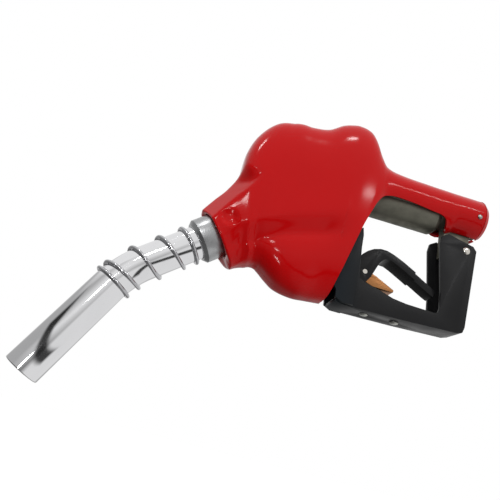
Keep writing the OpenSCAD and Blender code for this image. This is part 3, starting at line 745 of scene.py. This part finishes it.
@dataclass
class Handle:
    """Cast body and the soft cover over it."""

    # Place along the cover, top, centre, bottom, half width, lower edge, upper and lower squareness.
    # Ahead of bell_x the sections fan round a centre at fan_z, one degree to the millimetre.
    rows: tuple = (
        (3, 16.2, 0, -16.4, 16.2, -16.2, 2, 2), (4.2, 17, 0, -17.2, 17, -17, 2, 2),
        (7, 17.3, 0, -17.9, 17.3, -17.2, 2, 2), (26, 17.4, 0, -18, 17.3, -17.3, 2, 2),
        (31, 17.5, 0, -20.4, 17.3, -19.6, 2, 2), (36, 17.6, 0, -21.5, 17.3, -12.5, 2, 2),
        (46, 17.8, 0, -21.5, 17.4, -10.5, 2, 2), (75, 18.8, 0, -22, 18.6, -9, 2, 2),
        (87, 21.5, -1, -26, 20, -12, 2.2, 2.2), (93, 30, -6, -50, 21.8, -20, 2.6, 2.5),
        (97.5, 40, -14, -84, 23, -31, 2.9, 2.6), (102, 46.8, -20, -98, 23.8, -44, 3, 2.8),
        (107, 49.6, -22, -100, 24.2, -63, 3, 2.8), (112, 50.4, -24, -100, 24.4, -84, 3, 2.8),
        (116, 50, -24, -100, 24.5, -100, 3, 2.8), (126, 46, -24, -101, 24.5, -101, 3, 2.8),
        (137, 37.5, -24, -101.4, 24.5, -101.4, 3, 3.2), (150, 34.4, -24, -98.4, 24.5, -98.4, 3, 3.8),
        (158, 34.6, -25, -93.4, 24.5, -93.4, 3, 3.8), (165, 32.6, -26, -88.4, 24.5, -88.4, 3, 3.6),
        (170, 28.4, -28, -87.2, 24.5, -87.2, 2.9, 3.3), (176, 13.6, -34, -87.2, 24.2, -87.2, 2.8, 2.8),
        (180, -2, -42, -87.4, 23.8, -87.4, 2.8, 2.8), (183, -19, -50, -87.6, 23.2, -87.6, 2.8, 2.8),
        (190, -31, -55, -87.6, 21.6, -87.6, 2.8, 2.6), (198, -37, -59, -87.6, 20.4, -87.6, 2.7, 2.4),
        (205, -40.8, -60.6, -87.6, 19.8, -87.6, 2.6, 2.3))
    datum_x: float = 3.0
    bell_x: float = 165.0
    fan_z: float = -116.0
    slot_half: float = 0.15
    wall: float = 2.0
    # The hollow's upper and lower edges: station and height
    brow: tuple = (
        (-215, -78), (-200, -73), (-183.4, -67), (-164.9, -57.4), (-145.4, -48.4), (-121.4, -39.8),
        (-95.8, -31.6), (-60, -20))
    belly: tuple = (
        (-215, -100), (-200, -92), (-170, -75.5), (-159.1, -69.2), (-142.3, -63.1), (-119.9, -56.2),
        (-95.8, -50), (-60, -40))
    hollow_depth: float = 4.4
    swell: float = 3.4
    swell_run: float = 9.0
    # The hollow and the swell fade out here: at the spout end, the handle end and the middle plane
    hollow_front: tuple[float, float] = (-200, -170)
    hollow_back: tuple[float, float] = (-99, -126)
    hollow_middle: tuple[float, float] = (5, 15)
    # Pressed-in spot beside the collar: place, radius, depth, share that is flat, and squash in height
    dimple: tuple[float, float] = (-190.8, -66.0)
    dimple_r: float = 7.5
    dimple_depth: float = 1.5
    dimple_flat: float = 0.35
    dimple_squash: float = 1.1
    rings: int = 260
    sides: int = 190
    # The mouth closes in to this radius round the collar's axis, at this height of the last section
    mouth_r: float = 16.3
    mouth_z: float = -61.1
    # Rings of the turned-in edge: share of the way in, and how far each stands ahead
    mouth_edge: tuple = ((0.04, 0.5), (0.12, 0.85), (0.3, 1.0), (0.6, 0.8), (0.85, 0.3), (1.0, -0.9))
    # Rivet at the handle end: place on the far side, then radius and height of its outline
    rivet_at: tuple[float, float, float] = (-7.0, 17.05, -4.0)
    rivet: tuple = ((0, -0.9), (1.9, -0.9), (1.9, 0.05), (1.6, 0.45), (1.0, 0.68), (0, 0.75))
    facets: tuple[Facet, ...] = (
        Facet((-203.5, 15.8, -57.6), (-184.0, 23.0, -41.0), 52, x_fade=(-172, -180), z_fade=(-34, -44)),
        Facet((-184.0, 23.0, -41.0), (-174.8, 24.3, -25.7), 50, x_fade=(-166, -174), z_fade=(-24, -34)),
        Facet((-139.2, 19.0, -97.0), (-165.2, 20.6, -78.6), 42, x_fade=(-184, -172), z_fade=(-56, -68)),
    )

    def station(self, t: np.ndarray) -> np.ndarray:
        """Places of the cover's rings, closer together where its outline turns fast.

        Args:
            t: numbers from 0 to 1.

        Returns:
            Stations from the inlet end to the spout end.
        """
        knots = np.array([0, 0.02, 0.24, 0.5, 0.7, 0.9, 1.0])
        places = np.array([self.rows[0][0], 4.6, 84, 119, 163, 192, self.rows[-1][0]])
        return flow(np.stack([knots, places], 1), t)[:, 1]

    def outer_points(self) -> np.ndarray:
        """Points of the cover's outside before its flats and hollows.

        Returns:
            An array of rings, points around each ring, and X, Y, Z.
        """
        u = np.clip(self.station(np.linspace(0, 1, self.rings)), self.rows[0][0], self.rows[-1][0])
        r = flow(np.array(self.rows, float), u)
        top, mid, low, half, edge, n_up, n_low = [r[:, i][:, None] for i in range(1, 8)]
        reach = np.clip((mid - edge) / (mid - low), 0, 1)
        gap = np.degrees(np.arccos(reach ** (n_low / 2)))
        slot = np.degrees(np.arcsin((self.slot_half / half) ** (n_low / 2)))
        a = np.radians((180 - np.maximum(gap, slot)) * np.linspace(-1, 1, self.sides)[None, :])
        up = np.abs(a) < math.pi / 2
        n = np.where(up, n_up, n_low)
        cos, sin = np.cos(a), np.sin(a)
        z = mid + np.where(up, top - mid, mid - low) * np.sign(cos) * np.abs(cos) ** (2 / n)
        y = half * np.sign(sin) * np.abs(sin) ** (2 / n)
        uu = np.broadcast_to(u[:, None], z.shape)
        fan = np.radians(np.maximum(uu - self.bell_x, 0))
        x = np.where(uu <= self.bell_x, -uu, -self.bell_x - (z - self.fan_z) * np.sin(fan))
        z = np.where(uu <= self.bell_x, z, self.fan_z + (z - self.fan_z) * np.cos(fan))
        return np.stack([x + self.datum_x, y, z], -1)

    def press_hollow(self, points: np.ndarray) -> np.ndarray:
        """Sinks the side below a line that falls towards the spout, and swells the belly out lower down.

        Args:
            points: the cover's outer points.

        Returns:
            The points after it.
        """
        x, z = points[..., 0], points[..., 2]
        brow = flow(np.array(self.brow), x.ravel())[:, 1].reshape(x.shape)
        belly = flow(np.array(self.belly), x.ravel())[:, 1].reshape(x.shape)
        deep = self.hollow_depth * ramp(z, brow, belly)
        back = self.swell * (1 - np.exp(-np.maximum(belly - z, 0) / self.swell_run))
        ends = ramp(x, *self.hollow_front) * ramp(x, *self.hollow_back)
        off = np.hypot(x - self.dimple[0], (z - self.dimple[1]) * self.dimple_squash)
        spot = self.dimple_depth * ramp(off, self.dimple_r, self.dimple_r * self.dimple_flat)
        press = (deep - back) * ends * ramp(np.abs(points[..., 1]), *self.hollow_middle) + spot
        out = points.copy()
        out[..., 1] -= np.sign(points[..., 1]) * press
        return out

    def close_mouth(self, points: np.ndarray) -> np.ndarray:
        """Adds rings that turn the spout end in round the collar.

        Args:
            points: the cover's outer points.

        Returns:
            The points with the mouth's rings after them.
        """
        fan = math.radians(self.rows[-1][0] - self.bell_x)
        up = np.array([-math.sin(fan), 0, math.cos(fan)])
        front = np.array([-math.cos(fan), 0, -math.sin(fan)])
        base = np.array([-self.bell_x + self.datum_x, 0, self.fan_z]) + (self.mouth_z - self.fan_z) * up
        rim = points[-1]
        away = rim - base
        flat = away - (away @ front)[:, None] * front
        circle = base + self.mouth_r * flat / np.linalg.norm(flat, axis=1)[:, None]
        out = [points]
        for share, ahead in self.mouth_edge:
            out.append((rim + (circle - rim) * share + ahead * front)[None])
        return np.concatenate(out)

    def build_cover(self) -> bpy.types.Object:
        """Shapes the cover with its flats and hollows and gives it its wall.

        Returns:
            The finished cover.
        """
        points = self.outer_points()
        points = self.press_hollow(points)
        for facet in self.facets:
            points = facet.cut(points)
        points = self.close_mouth(points)
        faces = []
        for i in range(len(points) - 1):
            for k in range(self.sides - 1):
                a = i * self.sides + k
                faces.append([a, a + 1, a + self.sides + 1, a + self.sides])
        cover = piece_from("cover_skin", points.reshape(-1, 3), faces, DIPPED_VINYL)
        wall = cover.modifiers.new("wall", "SOLIDIFY")
        wall.thickness = self.wall * MM
        wall.offset = -1
        settle(cover, DIPPED_VINYL, 50)
        return placed(cover, Body.NOZZLE, "red_vinyl", "hand_cover")

    def build(self) -> None:
        """Builds the cover and dresses the casting, its rivets and the inlet."""
        self.build_cover()
        dress(CAST_GRIP, "body_casting", "main_valve_cap", "diaphragm_cap")
        x, y, z = self.rivet_at
        spots = [((x, s.value * y, z), (0, s.value, 0)) for s in Side]
        heads("cover_rivet_heads", self.rivet, spots, ZINC_SCREW, Body.NOZZLE, "plated_screw", "cover_rivets")
        dress(GROUND_STEEL, "inlet_strainer")


@dataclass
class Spout:
    """Collar, bent tube and the open coil round it."""

    collar: tuple[float, float] = (-202.6, -78.4)
    slope: float = 40.0
    bend: float = 23.5
    bend_r: float = 70.0
    root_l: float = 44.5
    tip_l: float = 70.2
    root_in: float = 27.0
    tube_r: float = 11.9
    wall: float = 1.4
    wire_r: float = 1.25
    # Clearance between the spring and the tube, and each turn's distance along the tube
    coil_gap: float = 0.12
    coil_rows: tuple = (
        (1.2, 11.3), (1.5, 12.2), (2, 13.9), (2.5, 22.4), (3, 31), (4, 49.6), (5, 65.2), (5.5, 68.6),
        (6, 69.5), (6.3, 70))
    turn_steps: int = 72
    sides: int = 96
    bend_steps: int = 32
    lip_steps: int = 10
    # Length of the last stretch of tube behind the rolled tip
    tip_run: float = 30.0

    def spine(self, s: float) -> tuple[np.ndarray, float]:
        """Point of the tube's centre line and its slope there.

        Args:
            s: distance along the tube from the collar's middle.

        Returns:
            The point and the slope in radians.
        """
        a0 = math.radians(self.slope)
        arc = self.bend_r * math.radians(self.bend)
        start = np.array([self.collar[0], 0, self.collar[1]])
        if s <= self.root_l:
            return start - s * np.array([math.cos(a0), 0, math.sin(a0)]), a0
        t = min(s - self.root_l, arc)
        a = a0 + t / self.bend_r
        knee = start - self.root_l * np.array([math.cos(a0), 0, math.sin(a0)])
        turn = self.bend_r * np.array([math.sin(a) - math.sin(a0), 0, math.cos(a0) - math.cos(a)])
        rest = max(0.0, s - self.root_l - arc)
        return knee - turn - rest * np.array([math.cos(a), 0, math.sin(a)]), a

    def ring(self, s: float, r: float) -> np.ndarray:
        """Points of one ring round the centre line.

        Args:
            s: distance along the tube from the collar's middle.
            r: the ring's radius.

        Returns:
            One row of X, Y, Z per point.
        """
        point, a = self.spine(s)
        f = np.arange(self.sides) * 2 * math.pi / self.sides
        up = np.array([-math.sin(a), 0, math.cos(a)])
        return point + r * (np.cos(f)[:, None] * up + np.sin(f)[:, None] * np.array([0, 1, 0]))

    def build_tube(self) -> bpy.types.Object:
        """Sweeps the tube with its wall and a rolled tip.

        Returns:
            The tube.
        """
        arc = self.bend_r * math.radians(self.bend)
        end = self.root_l + arc + self.tip_l
        inner = self.tube_r - self.wall
        straight = [(-self.root_in, self.tube_r), (0, self.tube_r)]
        bent = [(self.root_l + arc * i / self.bend_steps, self.tube_r) for i in range(self.bend_steps + 1)]
        lip_r = self.wall / 2
        lip = [(end - lip_r + lip_r * math.sin(t), self.tube_r - lip_r + lip_r * math.cos(t))
               for t in np.linspace(0, math.pi, self.lip_steps + 1)]
        back = [(s, inner) for s, _ in reversed(straight + bent)]
        run = end - self.tip_run
        rings = straight + bent + [(run, self.tube_r)] + lip + [(run, inner)] + back
        points = np.concatenate([self.ring(s, r) for s, r in rings])
        faces = tube_faces(len(rings), self.sides, closed=True)
        tube = piece_from("spout_polished", points, faces, POLISHED_TUBE)
        outward(tube)
        settle(tube, POLISHED_TUBE, 60)
        return placed(tube, Body.NOZZLE, "polished_alloy", "spout_tube")

    def coil_path(self) -> np.ndarray:
        """Winds the spout spring's centre line: close turns at both ends and open ones between.

        Returns:
            Points in millimetres.
        """
        turns = np.arange(self.coil_rows[0][0], self.coil_rows[-1][0], 1 / self.turn_steps)
        places = flow(np.array(self.coil_rows, float), turns)[:, 1]
        r = self.tube_r + self.wire_r + self.coil_gap
        path = []
        for w, s in zip(turns, places):
            point, a = self.spine(s)
            f = w * 2 * math.pi
            path.append(point + r * (math.cos(f) * np.array([-math.sin(a), 0, math.cos(a)])
                                     + math.sin(f) * np.array([0, 1, 0])))
        return np.array(path)

    def build(self) -> None:
        """Builds the tube, the spring and the collar, and dresses what is inside."""
        self.build_tube()
        coil("spout_coil", self.coil_path(), self.wire_r, Body.NOZZLE, "spout_spring")
        eased("spout_collar", "collar_turned", DIE_CAST_COLLAR, 0.5, Body.NOZZLE, "zinc_collar")
        dress(OILED_STEEL, "collar_set_screw")
        dress(BLACK_RUBBER, "spout_o_rings")
        dress(TURNED_BRASS, "vent_tube", "vent_ferrule")


@dataclass
class Valves:
    """Main valve, check valve and automatic shut-off inside the body."""

    def build(self) -> None:
        """Dresses every inner piece."""
        dress(TURNED_BRASS, "check_seat", "check_guide", "main_seat", "main_poppet", "packing_nut")
        dress(BLACK_ACETAL, "check_poppet")
        dress(BRIGHT_WIRE, "check_spring", "main_spring", "diaphragm_spring", "plunger_spring")
        dress(BLACK_RUBBER, "poppet_seal", "cap_gasket", "diaphragm")
        dress(PACKING, "stem_packing")
        dress(GROUND_STEEL, "valve_stem", "diaphragm_plate", "latch_pin", "plunger")
        dress(PLATED_STEEL, "latch_balls", "plunger_pin")
        dress(OILED_STEEL, "latch_ring")
        dress(ZINC_SCREW, "cap_screws")


@dataclass
class Lever:
    """Squeeze lever with its roller and the hold-open clip."""

    pin: tuple[float, float] = (-87.0, -70.5)
    clip_r: float = 2.3
    clip_turns: float = 4.0
    clip_wire_r: float = 0.35
    clip_half: float = 2.2
    clip_points: int = 145

    def build(self) -> None:
        """Rounds the lever and the clip, winds the clip's spring and dresses the pins."""
        eased("lever", "lever_moulding", BLACK_LEVER, 1.3, Body.LEVER, "black_nylon")
        eased("hold_open_clip", "clip_pressing", BRONZE_STRIP, 0.35, Body.CLIP, "bronze_clip")
        f = np.linspace(0, 1, self.clip_points)
        wind = 2 * math.pi * self.clip_turns * f
        x = self.pin[0] + self.clip_r * np.cos(wind)
        y = -self.clip_half + 2 * self.clip_half * f
        z = self.pin[1] + self.clip_r * np.sin(wind)
        coil("clip_return_coil", np.stack([x, y, z], 1), self.clip_wire_r, Body.LEVER, "clip_spring")
        dress(PLATED_STEEL, "lever_roller", "roller_pin", "clip_pin")


@dataclass
class Guard:
    """Lever guard with its pin, screws, rack and rivets."""

    rivet_x: tuple[float, float] = (-81.0, -58.0)
    rivet_z: float = -99.3
    half: float = 10.0
    pin: tuple[float, float] = (-12.0, -32.0)
    # Radius and height of the pin's and the rivets' outlines
    domed_pin: tuple = (
        (0, -21.2), (2.0, -21.0), (2.9, -20.5), (2.98, -20.0), (2.98, -0.2), (2.9, 0.1), (2.2, 0.6),
        (1.2, 0.78), (0, 0.8))
    button: tuple = ((0, -7.2), (1.6, -7.2), (1.6, 0), (3.15, 0.1), (3.1, 0.6), (2.3, 1.15), (0, 1.4))

    def build(self) -> None:
        """Rounds the guard, turns the pin's and rivets' heads and dresses the rack."""
        eased("guard", "guard_moulding", BLACK_GUARD, 0.8, Body.NOZZLE, "black_nylon")
        spot = ((self.pin[0], -self.half, self.pin[1]), (0, -1, 0))
        heads("rear_pin_domed", self.domed_pin, [spot], PLATED_STEEL, Body.NOZZLE, "bright_steel", "rear_pin")
        spots = [((x, 0, self.rivet_z), (0, 0, -1)) for x in self.rivet_x]
        heads("rack_rivet_heads", self.button, spots, ZINC_SCREW, Body.NOZZLE, "dark_steel", "rack_rivets")
        dress(ZINC_SCREW, "guard_screws")
        dress(OILED_STEEL, "hold_open_rack")


@dataclass
class Studio:
    """Floor, soft lights and the camera."""

    camera_at: tuple[float, float, float] = (-197.79, -307.92, -202.60)
    camera_along: tuple[float, float, float] = (0.08242, 0.92243, 0.37727)
    camera_up: tuple[float, float, float] = (-0.27925, -0.34202, 0.89724)
    lens: float = 33.84
    sensor: float = 36.0
    floor_z: float = -350.0
    floor_half: float = 6000.0
    # The dark strip's plane goes through the room's middle at right angles to this direction
    band: tuple[float, float, float] = (0.515, -0.105, 0.850)

    def build_camera(self) -> None:
        """Places the camera below the nozzle's middle, looking up at its side."""
        data = bpy.data.cameras.new("camera")
        data.lens = self.lens
        data.sensor_width = self.sensor
        data.clip_start = 0.01
        data.clip_end = 60
        camera = bpy.data.objects.new("camera", data)
        along = Vector(self.camera_along).normalized()
        right = along.cross(Vector(self.camera_up)).normalized()
        up = right.cross(along)
        turn = Matrix((right, up, -along)).transposed().to_4x4()
        camera.matrix_world = Matrix.Translation(Vector(self.camera_at) * MM) @ turn
        bpy.context.scene.collection.objects.link(camera)
        bpy.context.scene.camera = camera

    def build_world(self) -> None:
        """Lights the room with white walls, grey at the left and below, and one dark strip in front."""
        world = bpy.data.worlds.new("studio")
        bpy.context.scene.world = world
        world.use_nodes = True
        tree = world.node_tree
        tree.nodes.clear()
        way = add(tree, "ShaderNodeTexCoord").outputs["Generated"]
        axis = add(tree, "ShaderNodeSeparateXYZ", {0: way})
        tilt = add(tree, "ShaderNodeVectorMath", {0: way, 1: self.band}, operation="DOT_PRODUCT")
        x, y, z = axis.outputs["X"], axis.outputs["Y"], axis.outputs["Z"]
        strip = span(tree, math_node(tree, "ABSOLUTE", tilt.outputs["Value"]), (0.03, 0.06), (0.06, 1.0))
        dark = math_node(tree, "MAXIMUM", strip, span(tree, y, (-0.45, -0.2)))
        left = span(tree, x, (-0.75, -0.3), (0.5, 0.95))
        side = math_node(tree, "MAXIMUM", left, span(tree, z, (0.4, 0.6)))
        below = span(tree, z, (-0.35, 0.15), (0.25, 1.0))
        low = math_node(tree, "MAXIMUM", below, span(tree, x, (0.0, 0.45), (0.0, 0.95)))
        level = math_node(tree, "MULTIPLY", math_node(tree, "MULTIPLY", side, low), dark)
        lights = add(tree, "ShaderNodeBackground", {"Color": level, "Strength": 0.9})
        white = add(tree, "ShaderNodeBackground", {"Color": (1, 1, 1, 1), "Strength": 1.0})
        seen = add(tree, "ShaderNodeLightPath")
        either = add(tree, "ShaderNodeMixShader", {
            0: seen.outputs["Is Camera Ray"], 1: lights.outputs[0], 2: white.outputs[0]})
        add(tree, "ShaderNodeOutputWorld", {0: either.outputs[0]})

    def build_floor(self) -> None:
        """Lays a wide pale floor below the nozzle."""
        turns = ((-1, -1), (1, -1), (1, 1), (-1, 1))
        corners = [(x * self.floor_half, y * self.floor_half, self.floor_z) for x, y in turns]
        floor = piece_from("floor", np.array(corners), [[0, 1, 2, 3]], PALE_FLOOR, smooth=False)
        floor.visible_diffuse = False
        floor.visible_glossy = False

    def lamp(self, name: str, at: tuple, aim: tuple, size: tuple[float, float], power: float) -> None:
        """Hangs one soft area light.

        Args:
            name: its name.
            at: its place in millimetres.
            aim: the point that it faces, in millimetres.
            size: its width and height in millimetres.
            power: its power in watts.
        """
        data = bpy.data.lights.new(name, "AREA")
        data.shape = "RECTANGLE"
        data.size, data.size_y = size[0] * MM, size[1] * MM
        data.energy = power
        lamp = bpy.data.objects.new(name, data)
        place = Vector(at) * MM
        way = (Vector(aim) * MM - place).normalized()
        lamp.matrix_world = Matrix.Translation(place) @ way.to_track_quat("-Z", "Y").to_matrix().to_4x4()
        bpy.context.scene.collection.objects.link(lamp)

    def build(self) -> None:
        """Builds the studio."""
        bpy.context.scene.view_settings.view_transform = "Standard"
        self.build_camera()
        self.build_world()
        self.build_floor()
        self.lamp("grip_lamp", (160, -388, 260), (-50, -18, 0), (160, 14), 0.2)
        self.lamp("crown_lamp", (0, -400, 720), (-118, -21, 26), (40, 40), 0.25)
        self.lamp("left_lamp", (-527, -289, 614), (-185, -15, -40), (30, 120), 0.7)
        self.lamp("neck_lamp", (-400, -615, 214), (-190, -20, -66), (60, 60), 0.4)
        self.lamp("belly_lamp", (-330, -684, -16), (-155, -19, -80), (60, 40), 0.25)
        self.lamp("low_lamp", (-397, -624, -298), (-152, -22, -88), (30, 120), 0.5)


def main() -> None:
    """Builds the nozzle's looks piece by piece."""
    logging.basicConfig(level=logging.INFO, format="%(name)s: %(message)s")
    for assembly in (Handle(), Spout(), Valves(), Lever(), Guard(), Studio()):
        log.info("building %s", type(assembly).__name__)
        assembly.build()


if __name__ == "__main__":
    main()
